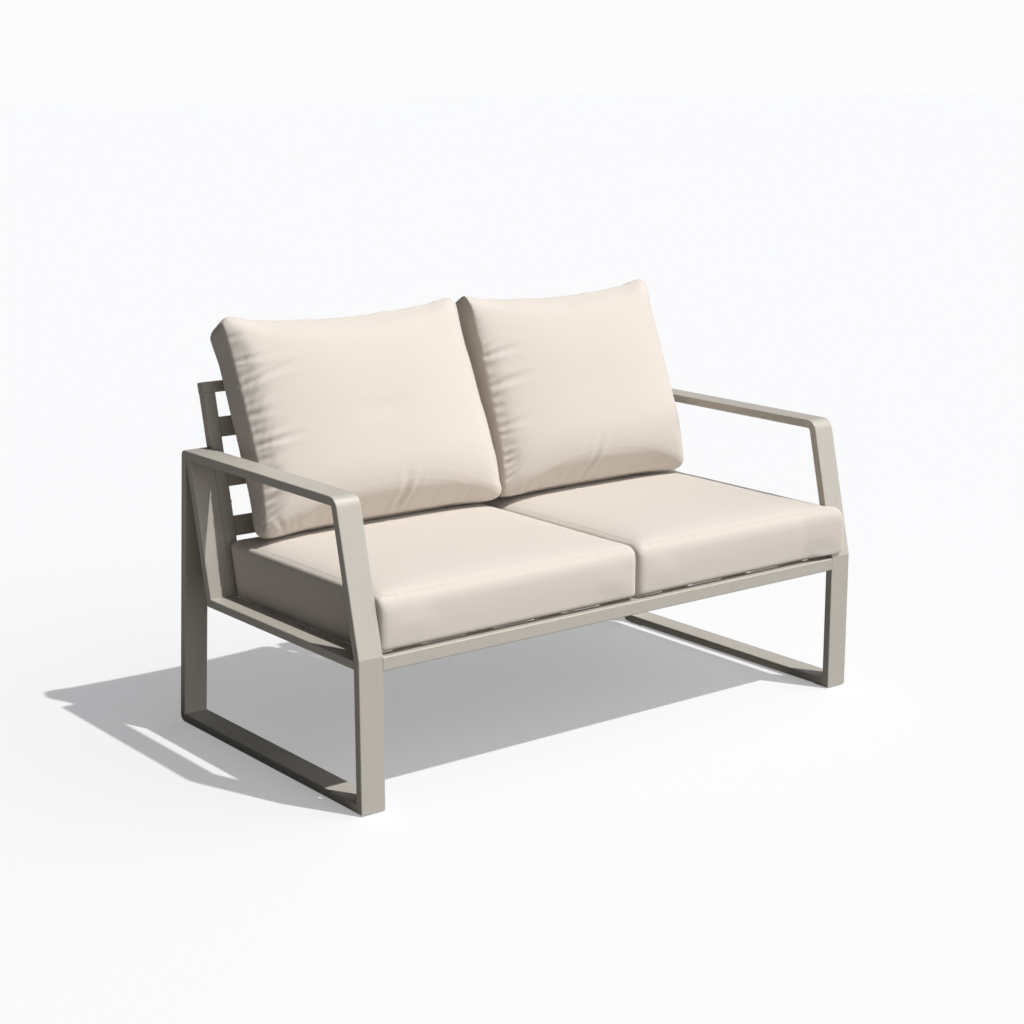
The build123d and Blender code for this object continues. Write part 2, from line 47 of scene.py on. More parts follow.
coat_dark_hex = "#B5AFA4"
# The real grain, about 0.3 mm, is too fine to show at this size and is drawn coarser.
coat_grain_mm = 1.1
coat_ripple_mm = 9.0
# Colour sockets of a Mix node, whose names A, B and Result each stand for several sockets.
colour_a, colour_b, colour_out = 6, 7, 2


def linear(code):
    """sRGB hex colour as linear RGBA: each channel through the sRGB curve."""
    part = np.array([int(code[i:i + 2], 16) / 255 for i in (1, 3, 5)])
    part = np.where(part <= 0.04045, part / 12.92, ((part + 0.055) / 1.055) ** 2.4)
    return (*part.tolist(), 1.0)


def set_up(material, node, settings=None, links=None):
    """Sets a node's inputs, by name or number, or its properties, and links {input: (node, output)}."""
    for name, value in (settings or {}).items():
        if isinstance(name, int) or name in node.inputs:
            node.inputs[name].default_value = value
        else:
            setattr(node, name, value)
    for name, (other, output) in (links or {}).items():
        material.node_tree.links.new(other.outputs[output], node.inputs[name])
    return node


def add_node(material, kind, settings=None, links=None):
    """Adds a shader node with its settings and links to a material or a sky."""
    return set_up(material, material.node_tree.nodes.new(kind), settings, links)


def new_material(name):
    """Empty node material with its Principled shader, which is returned with it."""
    material = bpy.data.materials.new(name)
    material.use_nodes = True
    return material, material.node_tree.nodes["Principled BSDF"]


def powder_coat():
    """Matt warm taupe powder coat on aluminium: fine grain, faint ripple, slightly satin."""
    material, shader = new_material("taupe powder coat on aluminium")
    on_piece = {"Vector": (add_node(material, "ShaderNodeTexCoord"), "Object")}
    grain = add_node(material, "ShaderNodeTexNoise", {"Scale": 1000 / coat_grain_mm, "Detail": 2.0}, on_piece)
    ripple = add_node(material, "ShaderNodeTexNoise", {"Scale": 1000 / coat_ripple_mm, "Detail": 3.0}, on_piece)
    tones = {"data_type": "RGBA", colour_a: linear(coat_dark_hex), colour_b: linear(coat_hex)}
    colour = add_node(material, "ShaderNodeMix", tones, {"Factor": (ripple, "Fac")})
    rough = add_node(material, "ShaderNodeMapRange", {"To Min": 0.40, "To Max": 0.54}, {"Value": (grain, "Fac")})
    raised = {"Strength": 0.25, "Distance": 0.0002}
    bump = add_node(material, "ShaderNodeBump", raised, {"Height": (grain, "Fac")})
    finish = {"Base Color": (colour, colour_out), "Roughness": (rough, "Result"), "Normal": (bump, "Normal")}
    set_up(material, shader, {"Metallic": 0.1}, finish)
    return material


coat = powder_coat()
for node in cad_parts.values():
    for slot in node.material_slots:
        slot.material = coat

# Glides. Hard black rubber pads under the corners of the runners, each moulded with a stem that is pushed
# into a hole in the tube, so that the sofa stands on rubber and not on its paint.
glide_hex = "#1B1B1C"
glide_bloom_mm = 5.5556


def rubber():
    """Moulded black rubber: matt, with a faint cloudy bloom."""
    material, shader = new_material("moulded black rubber")
    on_piece = {"Vector": (add_node(material, "ShaderNodeTexCoord"), "Object")}
    bloom = add_node(material, "ShaderNodeTexNoise", {"Scale": 1000 / glide_bloom_mm}, on_piece)
    rough = add_node(material, "ShaderNodeMapRange", {"To Min": 0.6, "To Max": 0.8}, {"Value": (bloom, "Fac")})
    set_up(material, shader, {"Base Color": linear(glide_hex)}, {"Roughness": (rough, "Result")})
    return material


glide_rubber = rubber()
for name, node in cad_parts.items():
    if name.endswith("_glide"):
        for slot in node.material_slots:
            slot.material = glide_rubber

# Fasteners. Stainless corner brackets and button-head bolts hold the seat frame to the side frames, and
# bolts in rivet nuts hold the back posts to the struts. Turned or pressed, and left bare.
steel_hex = "#B9B7B2"
steel_mark_mm = 1.1111


def steel():
    """Turned stainless steel: satin, with small tool marks that dull it unevenly."""
    material, shader = new_material("satin stainless steel")
    on_piece = {"Vector": (add_node(material, "ShaderNodeTexCoord"), "Object")}
    marks = add_node(material, "ShaderNodeTexNoise", {"Scale": 1000 / steel_mark_mm}, on_piece)
    rough = add_node(material, "ShaderNodeMapRange", {"To Min": 0.25, "To Max": 0.4}, {"Value": (marks, "Fac")})
    bare = {"Base Color": linear(steel_hex), "Metallic": 1.0}
    set_up(material, shader, bare, {"Roughness": (rough, "Result")})
    return material


stainless = steel()
for name in ("seat_corner_brackets", "seat_frame_bolts", "back_frame_bolts", "rivet_nuts"):
    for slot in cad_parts[name].material_slots:
        slot.material = stainless

# Cushions. Foam wrapped in fibre fill, in sewn covers of cream outdoor polyester. A boxing band joins a top
# and a bottom panel, and its seams pull the cloth in, so that each panel swells and gathers along them. The
# seat pair lies loose on the slats, and the back pair stands on it and leans on the top rail.
lean = math.tan(math.radians(13))
rail_tube_depth = 0.025
arm_post_foot = (-0.386, 0.3353)
side_frame_inner_x = 0.66
press_softness = 0.0012

rail_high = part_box("back_top_rail")[1]
frame_top_z = rail_high.z
frame_top_y = rail_high.y - rail_tube_depth * math.cos(math.atan(lean))
contact_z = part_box("left_back_cushion_cover")[0].z
slat_top_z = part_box("left_seat_cushion_cover")[0].z
front_rail_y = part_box("front_seat_rail")[1].y


def frame_front(z):
    """Y of the plane of the back frame's front face, which leans back, at heights z."""
    return frame_top_y - (frame_top_z - z) * lean


def arm_post_front(z):
    """Y of the plane of the front face of the arm posts, which lean back from the crease."""
    return arm_post_foot[0] + (z - arm_post_foot[1]) * lean


def smooth_step(value):
    """0 below 0 and 1 above 1, with the cubic 3v² - 2v³ between."""
    value = np.clip(value, 0, 1)
    return value * value * (3 - 2 * value)


def kept_below(value, limit):
    """Value pressed flat against an upper limit: limit - softness * ln(1 + e^((limit - value) / softness))."""
    return limit - press_softness * np.logaddexp(0, (limit - value) / press_softness)


def kept_above(value, limit):
    """Value pressed flat against a lower limit."""
    return -kept_below(-value, -limit)


ring_side_points = 70
ring_corner_points = 8
panel_rings = 44
panel_ring_crowding = 1.6
inmost_ring = 0.002
bend_rings = 7
boxing_ring_shares = (0.35, 0.5, 0.65)
least_corner = 1e-4


def ring(half_x, low, high, corner):
    """Rounded rectangle from the lower right, anticlockwise: four straight sides joined by quarter circles."""
    steps = np.linspace(0, 1, ring_side_points, endpoint=False)[:, None]
    turns = np.linspace(0, math.pi / 2, ring_corner_points, endpoint=False)
    in_x, in_low, in_high = half_x - corner, low + corner, high - corner
    sides = (
        ((half_x, in_low), (half_x, in_high), (in_x, in_high)),
        ((in_x, high), (-in_x, high), (-in_x, in_high)),
        ((-half_x, in_high), (-half_x, in_low), (-in_x, in_low)),
        ((-in_x, low), (in_x, low), (in_x, in_low)),
    )
    parts = []
    for index, (start, end, middle) in enumerate(sides):
        start, end, middle = map(np.array, (start, end, middle))
        angle = turns + index * math.pi / 2
        parts += [start + (end - start) * steps, middle + corner * np.stack([np.cos(angle), np.sin(angle)], 1)]
    return np.concatenate(parts)


def boxed_form(form):
    """Rings of a cushion in its own axes: x across, s up the panel, n out of the rear or lower panel.

    The outline climbs a profile: lower panel, round edge, boxing, round edge, upper panel. Over a panel n
    swells by crown * ((1 - |x|^p) * (1 - |s|^p))^q, with x and s as shares of the half width and half
    height, the draws pull the middle of each edge inwards by draw * (1 - share²), and the tapers lean the
    side edges over by taper * share of the height. The foot roll rounds the upper edge over the foot to a
    quarter circle of that radius.
    """
    half_x, height, boxing, edge = form["width"] / 2, form["height"], form["boxing"], form["edge"]
    low_edge, foot_roll = form["low_edge"], form["foot_roll"]
    reach = min(half_x, height / 2) - inmost_ring
    bend = np.linspace(0, math.pi / 2, bend_rings)
    spread = np.linspace(0, 1, panel_rings) ** panel_ring_crowding
    lower, upper = low_edge + (reach - low_edge) * spread, edge + (reach - edge) * spread
    profile = [(inset, 0.0, -1) for inset in lower[::-1]]
    profile += [(low_edge * (1 - math.sin(a)), low_edge * (1 - math.cos(a)), 0) for a in bend[1:]]
    profile += [(0.0, boxing * share, 0) for share in boxing_ring_shares]
    profile += [(edge * (1 - math.cos(a)), boxing - edge * (1 - math.sin(a)), 0) for a in bend]
    profile += [(inset, boxing, 1) for inset in upper[1:]]
    rows = []
    for inset, n, panel in profile:
        middle = (height + n * (form["top_slope"] - form["foot_slope"])) / 2
        half_s = (height + n * (form["top_slope"] + form["foot_slope"])) / 2
        room = min(half_x, half_s) - inset
        corner = min(form["corner"] + (room - form["corner"]) * (inset / reach) ** 2, room - least_corner)
        low, high = middle - half_s + inset, middle + half_s - inset
        x, s = ring(half_x - inset, low, high, max(corner, least_corner)).T
        across, up = x / half_x, (s - middle) / half_s
        round_off = foot_roll - np.clip(s - (middle - half_s), 0, foot_roll)
        roll = foot_roll - np.sqrt(foot_roll ** 2 - round_off ** 2)
        over_x = np.clip(np.abs(x) / (half_x - edge), 0, 1)
        over_s = np.clip(np.abs(s - middle) / (half_s - edge), 0, 1)
        dome = ((1 - over_x ** form["power"]) * (1 - over_s ** form["power"])) ** form["rise"]
        crown = form["rear_crown"] if panel < 0 else form["crown"]
        top, foot = ((1 + up) / 2) ** 3, ((1 - up) / 2) ** 3
        tapers = (form["left_taper"] * (1 - across) + form["right_taper"] * (1 + across)) * (1 + up) / 4
        rows.append(np.stack([
            x - form["side_draw"] * across ** 3 * (1 - up ** 2) + tapers,
            s - (form["top_draw"] * top - form["foot_draw"] * foot) * (1 - across ** 2),
            n + panel * crown * dome - roll * min(max(2 * n / boxing - 1, 0), 1),
        ], 1))
    return np.stack(rows)


def ring_faces(rows, count):
    """Quads between neighbouring rings, with the first and last ring closed by one face each."""
    here = np.arange(count)
    after = (here + 1) % count
    base = (np.arange(rows - 1) * count)[:, None]
    quads = np.stack([base + here, base + after, base + count + after, base + count + here], -1)
    return quads.reshape(-1, 4).tolist() + [here[::-1].tolist(), ((rows - 1) * count + here).tolist()]


def mesh_object(name, points, faces):
    """New object at the origin from points in metres and faces."""
    mesh = bpy.data.meshes.new(name)
    mesh.from_pydata(points.tolist(), [], faces)
    mesh.update()
    item = bpy.data.objects.new(name, mesh)
    bpy.context.scene.collection.objects.link(item)
    return item


def points_of(mesh):
    """Vertex coordinates as an array."""
    flat = np.empty(len(mesh.vertices) * 3)
    mesh.vertices.foreach_get("co", flat)
    return flat.reshape(-1, 3)


def normals_of(mesh, points):
    """Vertex normals as an array, once the points are put into the mesh."""
    mesh.vertices.foreach_set("co", points.ravel())
    mesh.update()
    flat = np.empty(len(mesh.vertices) * 3)
    mesh.vertices.foreach_get("normal", flat)
    return flat.reshape(-1, 3)


def evaluated_mesh(item):
    """The object's mesh with its modifiers worked in."""
    graph = bpy.context.evaluated_depsgraph_get()
    return bpy.data.meshes.new_from_object(item.evaluated_get(graph))


voxel_size = 0.006
cloth_pressure = 4.0
cloth_frames = 20


def remeshed(name, points, faces):
    """Closed form remade as even quads, as wide as the voxel size."""
    rough = mesh_object(name + "_rough", points, faces)
    voxels = rough.modifiers.new("voxels", "REMESH")
    voxels.mode = "VOXEL"
    voxels.voxel_size = voxel_size
    item = bpy.data.objects.new(name, evaluated_mesh(rough))
    bpy.data.objects.remove(rough)
    bpy.context.scene.collection.objects.link(item)
    return item


def inflate(items, caps):
    """Moves that a cloth simulation under inner pressure gives the points, each held to the item's cap."""
    for item in items:
        cloth = item.modifiers.new("cloth", "CLOTH")
        cloth.settings.quality = 5
        cloth.settings.mass = 0.3
        cloth.settings.tension_stiffness = 15
        cloth.settings.compression_stiffness = 15
        cloth.settings.bending_stiffness = 0.5
        cloth.settings.use_pressure = True
        cloth.settings.uniform_pressure_force = cloth_pressure
        cloth.settings.effector_weights.gravity = 0
        cloth.collision_settings.use_collision = False
        cloth.point_cache.frame_start = 1
        cloth.point_cache.frame_end = cloth_frames
    for number in range(1, cloth_frames + 1):
        bpy.context.scene.frame_set(number)
    moves = []
    for item, cap in zip(items, caps):
        move = points_of(evaluated_mesh(item)) - points_of(item.data)
        length = np.linalg.norm(move, axis=1, keepdims=True)
        moves.append(move * np.minimum(1, cap / np.maximum(length, 1e-9)))
        item.modifiers.clear()
    bpy.context.scene.frame_set(1)
    return moves


def evened(mesh, values, rounds):
    """Values of the points averaged with those of their neighbours along the edges, over and over."""
    ends = np.empty(len(mesh.edges) * 2, dtype=np.int64)
    mesh.edges.foreach_get("vertices", ends)
    one, other = ends.reshape(-1, 2).T
    count = np.bincount(ends, minlength=len(values))
    for _ in range(rounds):
        total = [np.bincount(one, column[other], len(values)) + np.bincount(other, column[one], len(values))
                 for column in values.T]
        values = (values + np.stack(total, 1)) / (1 + count)[:, None]
    return values


def edge_distances(form, local):
    """How far points lie inside the left, right, foot and top edge of the panels, along the panel."""
    x, s, n = local.T
    level = np.clip(n, 0, form["boxing"])
    low = -level * form["foot_slope"]
    high = form["height"] + level * form["top_slope"]
    across = x / (form["width"] / 2)
    up = (2 * s - low - high) / (high - low)
    half = form["width"] / 2 - form["side_draw"] * np.clip(1 - up ** 2, 0, 1)
    bow = np.clip(1 - across ** 2, 0, 1)
    rise = (1 + up) / 2
    left = x - form["left_taper"] * rise + half
    right = half + form["right_taper"] * rise - x
    return left, right, s - low - form["foot_draw"] * bow, high - form["top_draw"] * bow - s


fold_gain = 1.15
fold_spread = 0.6
ridge_share = 0.55
ridge_place = 1.6
seam_share = 0.45
boxing_run = 0.03
gather_width = 0.0042


def folds(along, inward, table):
    """Depth of gathers that run inwards from a seam, one row of the table each.

    A row holds place, length, depth, width and slant. Over u, the distance from the fold's middle line in
    widths, a fold is a valley between two ridges, e^(-u²) - share * (e^(-(u - place)²) + e^(-(u + place)²)).
    It rises from the seam's share of its depth over a fifth of its length, spreads by fold_spread of its
    width, fades out at its end, and runs a little way round onto the boxing.
    """
    place, length, depth, width, slant = np.array(table).T[:, None, :]
    run = inward[:, None] / length
    u = (along[:, None] - place - slant * inward[:, None]) / (width * (1 + fold_spread * np.clip(run, 0, 1)))
    ridges = ridge_share * np.exp(-(u - ridge_place) ** 2), ridge_share * np.exp(-(u + ridge_place) ** 2)
    shape = np.exp(-u ** 2) - ridges[0] - ridges[1]
    fade = (seam_share + (1 - seam_share) * smooth_step(run / 0.2)) * (1 - smooth_step(run)) ** 0.8
    fade *= smooth_step(1 + inward[:, None] / boxing_run)
    return fold_gain * (shape * fade * depth).sum(1)


def fine_gathers(start, end, spacing, length, depth):
    """Table of small gathers between two places on a seam, spread unevenly by sines of their number."""
    number = np.arange(max(int((end - start) / spacing), 1))
    place = start + (number + 0.5 + 0.35 * np.sin(number * 2.4)) * spacing
    size = 0.65 + 0.35 * np.sin(number * 4.1 + 1)
    slant = 0.18 * np.sin(number * 5.3)
    return np.stack([place, length * size, depth * size, gather_width + 0 * size, slant], 1).tolist()


seam_ridge_height, seam_ridge_width = 0.0009, 0.0035
seam_groove_depth, seam_groove_width, seam_groove_place = 0.0007, 0.0045, 0.0085


def seam_relief(distance):
    """Height over a seam: a low ridge of folded seam allowance with a groove beside it, each e^(-share²)."""
    ridge = seam_ridge_height * np.exp(-(distance / seam_ridge_width) ** 2)
    return ridge - seam_groove_depth * np.exp(-((distance - seam_groove_place) / seam_groove_width) ** 2)


class Cushion:
    """One cushion: the body it rides on, its form, the place of its own axes, its swell and its gathers."""

    def __init__(self, body, form, origin, tilt, cap, gathers):
        self.body, self.form, self.origin, self.cap, self.gathers = body, form, np.array(origin), cap, gathers
        up = (0, math.sin(tilt), math.cos(tilt))
        out = (0, -math.cos(tilt), math.sin(tilt))
        self.axes = np.array([(1, 0, 0), up, out])

    def world(self, local):
        """Points of its own axes in the room."""
        return self.origin + local @ self.axes

    def local(self, world):
        """Points of the room in its own axes."""
        return (world - self.origin) @ self.axes.T

    def relief(self, rest):
        """Height of seams and gathers at the points at rest, the gathers only on the front of the boxing."""
        boxing = self.form["boxing"]
        local = self.local(rest)
        left, right, foot, top = edge_distances(self.form, local)
        x, s, n = local.T
        panel = np.minimum(np.minimum(left, right), np.minimum(foot, top))
        height = seam_relief(np.hypot(panel, n - boxing)) + seam_relief(np.hypot(panel, n))
        step = n - boxing
        in_front = smooth_step((n - 0.3 * boxing) / (0.3 * boxing))
        ways = {"left": (s, left), "right": (s, right), "foot": (x, foot), "top": (x, top)}
        for side, table in self.gathers.items():
            along, inside = ways[side]
            height -= in_front * folds(along, inside + np.minimum(step, 0), table)
        return height


slat_sag = 0.008
seat_growth = 0.012
seat_rear_gap = 0.007
seat_boxing = 0.124
seat_swell = 0.0035
back_angle = math.radians(22)
back_foot_y = 0.148
back_foot_sink = 0.0100
back_swell = 0.013


def seat_cushion(side, gathers):
    """Seat cushion in the box of its CAD cover, its rear end parallel to the back frame."""
    low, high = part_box(f"{side}_seat_cushion_cover")
    form = {
        "width": high.x - low.x + seat_growth, "height": frame_front(low.z) - seat_rear_gap - low.y,
        "boxing": seat_boxing + slat_sag, "crown": 0.017, "rear_crown": 0.0, "power": 3.0, "rise": 0.62,
        "corner": 0.013, "edge": 0.010, "low_edge": 0.003, "foot_roll": 0.028,
        "side_draw": 0.0, "top_draw": 0.0, "foot_draw": 0.0,
        "foot_slope": 0.0, "top_slope": lean, "left_taper": 0.0, "right_taper": 0.0,
    }
    outwards = -seat_growth / 2 if side == "left" else seat_growth / 2
    place = ((low.x + high.x) / 2 + outwards, low.y, low.z - slat_sag)
    return Cushion(f"{side}_seat_cushion", form, place, math.pi / 2, seat_swell, gathers)


def back_cushion(side, gathers, sides, tapers):
    """Back cushion with a level foot on the seat cushion and its crowned rear on the top rail.

    The sides are how far its foot reaches past its CAD cover to the left and right, and the tapers how far
    its upper corners stand to the right of the lower ones.
    """
    low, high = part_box(f"{side}_back_cushion_cover")
    start, end = low.x - sides[0], high.x + sides[1]
    form = {
        "width": end - start, "height": 0.503,
        "boxing": 0.077, "crown": 0.046, "rear_crown": 0.040, "power": 2.5, "rise": 0.86,
        "corner": 0.028, "edge": 0.006, "low_edge": 0.006, "foot_roll": 0.0,
        "side_draw": 0.003, "top_draw": 0.024, "foot_draw": -0.004,
        "foot_slope": math.tan(back_angle), "top_slope": 0.22, "left_taper": tapers[0], "right_taper": tapers[1],
    }
    place = ((start + end) / 2, back_foot_y, low.z - back_foot_sink)
    return Cushion(f"{side}_back_cushion", form, place, back_angle, back_swell, gathers)


left_back_gathers = {
    "left": [
        (0.458, 0.045, 0.0026, 0.0053, 0.10), (0.400, 0.090, 0.0035, 0.0052, 0.05),
        (0.386, 0.050, 0.0018, 0.0049, 0.10), (0.365, 0.181, 0.0028, 0.0078, 0.12),
        (0.343, 0.171, 0.0057, 0.0068, 0.22), (0.314, 0.087, 0.0020, 0.0062, 0.15),
        (0.296, 0.100, 0.0030, 0.0059, 0.25), (0.273, 0.079, 0.0033, 0.0059, 0.10),
        (0.247, 0.090, 0.0018, 0.0053, 0.10), (0.227, 0.096, 0.0033, 0.0071, 0.18),
        (0.202, 0.143, 0.0042, 0.0058, 0.10), (0.190, 0.066, 0.0017, 0.0047, 0.00),
        (0.169, 0.095, 0.0021, 0.0064, 0.10), (0.135, 0.066, 0.0029, 0.0056, 0.10),
        (0.101, 0.076, 0.0022, 0.0052, 0.10), (0.070, 0.064, 0.0035, 0.0070, 0.30),
        (0.045, 0.098, 0.0025, 0.0067, 0.50), (0.022, 0.075, 0.0053, 0.0078, 0.70),
    ],
    "foot": [
        (0.020, 0.159, 0.0054, 0.0090, 0.10), (0.046, 0.144, 0.0022, 0.0071, 0.14),
        (0.120, 0.079, 0.0018, 0.0070, 0.10), (-0.090, 0.057, 0.0013, 0.0059, 0.10),
        (-0.250, 0.061, 0.0026, 0.0052, -0.30), (-0.290, 0.072, 0.0028, 0.0064, -0.50),
        (0.220, 0.050, 0.0019, 0.0064, 0.20), (-0.170, 0.048, 0.0017, 0.0064, 0.00),
    ],
}
right_back_gathers = {
    "left": [
        (0.455, 0.042, 0.0023, 0.0051, 0.10), (0.430, 0.059, 0.0015, 0.0058, 0.10),
        (0.400, 0.048, 0.0027, 0.0047, 0.20), (0.358, 0.109, 0.0029, 0.0064, 0.15),
        (0.343, 0.146, 0.0054, 0.0068, 0.10), (0.314, 0.049, 0.0014, 0.0056, 0.10),
        (0.285, 0.075, 0.0027, 0.0056, 0.10), (0.268, 0.159, 0.0046, 0.0077, 0.12),
        (0.239, 0.055, 0.0014, 0.0054, 0.10), (0.215, 0.053, 0.0027, 0.0057, 0.10),
        (0.190, 0.053, 0.0015, 0.0053, 0.00), (0.164, 0.118, 0.0029, 0.0068, 0.15),
        (0.146, 0.065, 0.0030, 0.0049, 0.10), (0.114, 0.072, 0.0015, 0.0056, 0.10),
        (0.090, 0.052, 0.0030, 0.0054, 0.20), (0.065, 0.056, 0.0030, 0.0062, 0.40),
        (0.040, 0.079, 0.0028, 0.0065, 0.60), (0.018, 0.066, 0.0055, 0.0069, 0.80),
    ],
    "foot": [
        (-0.055, 0.186, 0.0052, 0.0078, 0.22), (-0.020, 0.087, 0.0013, 0.0070, 0.16),
        (-0.150, 0.051, 0.0014, 0.0052, 0.20), (-0.195, 0.065, 0.0023, 0.0055, 0.30),
        (-0.240, 0.050, 0.0036, 0.0059, 0.10), (-0.110, 0.059, 0.0024, 0.0059, 0.20),
        (0.050, 0.077, 0.0010, 0.0056, 0.10), (0.100, 0.057, 0.0012, 0.0052, 0.00),
    ],
}
seat_gathers = {
    "left": fine_gathers(0.01, 0.08, 0.022, 0.026, 0.0009) + fine_gathers(0.12, 0.56, 0.062, 0.026, 0.0006),
    "right": fine_gathers(0.02, 0.56, 0.058, 0.026, 0.0007),
    "foot": fine_gathers(-0.32, -0.26, 0.018, 0.024, 0.0009) + fine_gathers(-0.22, 0.30, 0.066, 0.030, 0.0006),
}
cushions = [
    seat_cushion("left", seat_gathers),
    seat_cushion("right", seat_gathers),
    back_cushion("left", left_back_gathers, (0.008, 0.008), (-0.002, -0.026)),
    back_cushion("right", right_back_gathers, (0.014, -0.006), (-0.030, -0.002)),
]
seat_seam_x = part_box("left_seat_cushion_cover")[1].x + 0.0005
back_seam_x = (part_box("left_back_cushion_cover")[1].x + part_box("right_back_cushion_cover")[0].x) / 2
surface_cell = 0.012


def top_surface(points, x, y):
    """Height of the seat cushions' tops at x and y: the highest point in each small square, smoothed."""
    low = points[:, :2].min(0)
    cells = np.floor((points[:, :2] - low) / surface_cell).astype(int)
    count = cells.max(0) + 1
    heights = np.full(count, slat_top_z)
    np.maximum.at(heights, (cells[:, 0], cells[:, 1]), points[:, 2])
    padded = np.pad(heights, 1, mode="edge")
    heights = sum(padded[i:i + count[0], j:j + count[1]] for i in range(3) for j in range(3)) / 9
    place = [np.clip((value - start) / surface_cell - 0.5, 0, number - 1.001)
             for value, start, number in zip((x, y), low, count)]
    i, j = place[0].astype(int), place[1].astype(int)
    u, v = place[0] - i, place[1] - j
    return ((1 - u) * (1 - v) * heights[i, j] + u * (1 - v) * heights[i + 1, j]
            + (1 - u) * v * heights[i, j + 1] + u * v * heights[i + 1, j + 1])


slat_count = 7
slat_half_width = 0.025
slat_touch = 0.0004
sag_run, sag_rail_run = 0.03, 0.02
bracket_leg = 0.042
bracket_margin, bracket_run = 0.012, 0.008
rear_rail_gap = 0.006
front_lift = 0.010
front_lift_gap, front_lift_run, front_lift_height = 0.001, 0.012, 0.035


def laid_on_slats(x, y, z):
    """Height of a seat cushion's points: it sags between the slats and the rails, and lifts over the front.

    The sag is slat_sag times a smooth step of the way off the nearest slat and one of the way off the rails
    and the corner brackets. The lift is front_lift times a smooth step of the way forward and one down.
    """
    pitch = 2 * side_frame_inner_x / slat_count
    off_slat = np.abs((x + side_frame_inner_x) % pitch - pitch / 2) - slat_half_width
    at_bracket = smooth_step((np.abs(x) - side_frame_inner_x + bracket_leg + bracket_margin) / bracket_run)
    off_rail = np.minimum(y - front_rail_y, frame_front(slat_top_z) - rear_rail_gap - y)
    off_rail = off_rail - bracket_leg * at_bracket
    sag = slat_sag * smooth_step(off_slat / sag_run) * smooth_step(off_rail / sag_rail_run)
    forward = smooth_step((front_rail_y - front_lift_gap - y) / front_lift_run)
    down = smooth_step((slat_top_z + front_lift_height - z) / front_lift_height)
    return kept_above(z, slat_top_z + slat_touch - sag) + front_lift * forward * down


corner_start_x, corner_run = 0.560, 0.100
corner_draw, corner_draw_y, corner_draw_run = 0.013, -0.330, 0.05
corner_bulge, corner_top_share, corner_top_z, corner_top_run = 0.032, 0.3, 0.42, 0.05
post_gap, post_run = 0.002, 0.009
side_touch = 0.0005


def bulged_past_post(x, y, z):
    """X and y of the right seat cushion: its front corner draws back and bulges out before the arm post.

    Both grow with a smooth step of x towards the corner, the bulge only in front of the post, and less
    near the top.
    """
    near = smooth_step((x - corner_start_x) / corner_run)
    y = y - corner_draw * near * smooth_step((corner_draw_y - y) / corner_draw_run)
    room = smooth_step((arm_post_front(z) - post_gap - y) / post_run)
    top = 1 - corner_top_share * smooth_step((z - corner_top_z) / corner_top_run)
    return kept_below(x, side_frame_inner_x - side_touch) + corner_bulge * room * near * top, y


cushion_gap = 0.001
seam_touch = 0.0006
stand_gap = 0.0012
stand_depth = 0.016
rail_cover = 0.004
tuck_start_y, tuck_run = 0.02, 0.07


def clear_of_neighbours(cushion, points, seats):
    """Presses a cushion flat against the frame, its neighbour and the cushion under or over it."""
    x, y, z = points.T
    left = cushion.body.startswith("left")
    seat = "seat" in cushion.body
    seam = seat_seam_x if seat else back_seam_x
    y = np.where(z < frame_top_z + rail_cover, kept_below(y, frame_front(z) - cushion_gap), y)
    x = kept_below(x, seam - seam_touch) if left else kept_above(x, seam + seam_touch)
    if not seat:
        rest_on = top_surface(seats, x, y) + stand_gap
        return np.stack([x, y, kept_above(z, np.maximum(rest_on, contact_z - stand_depth))], 1)
    z = laid_on_slats(x, y, z)
    under = smooth_step((y - tuck_start_y) / tuck_run)
    z = z + under * (kept_below(z, contact_z - seam_touch) - z)
    x = kept_above(x, -side_frame_inner_x + side_touch)
    if not left:
        x, y = bulged_past_post(x, y, z)
    return np.stack([x, y, z], 1)


swell_rounds = 14
# The remeshed form has steps as high as a voxel on its slanted faces, which these rounds take off.
step_rounds = 2

pads = []
for cushion in cushions:
    rows = boxed_form(cushion.form)
    points = cushion.world(rows.reshape(-1, 3))
    pads.append(remeshed(cushion.body + "_soft_cover", points, ring_faces(*rows.shape[:2])))
rests = [points_of(pad.data) for pad in pads]
caps = [cushion.cap for cushion in cushions]
moves = inflate(pads, caps)
moves = [evened(pad.data, move, swell_rounds) for pad, move in zip(pads, moves)]
moves = [move + evened(pad.data, rest, step_rounds) - rest for pad, rest, move in zip(pads, rests, moves)]

cover_hex = "#D5CCC2"
cover_thread_hex = "#C8BEB3"
# The real yarn, about 0.5 mm thick, is too fine to show at this size and is drawn coarser.
yarn_pitch_mm = 3.1583
slub_mm = 3.8462
# Scale of a wave texture with bands 1 mm apart: it has 20 / (2 pi) bands to its unit.
wave_mm = 1000 * 2 * math.pi / 20


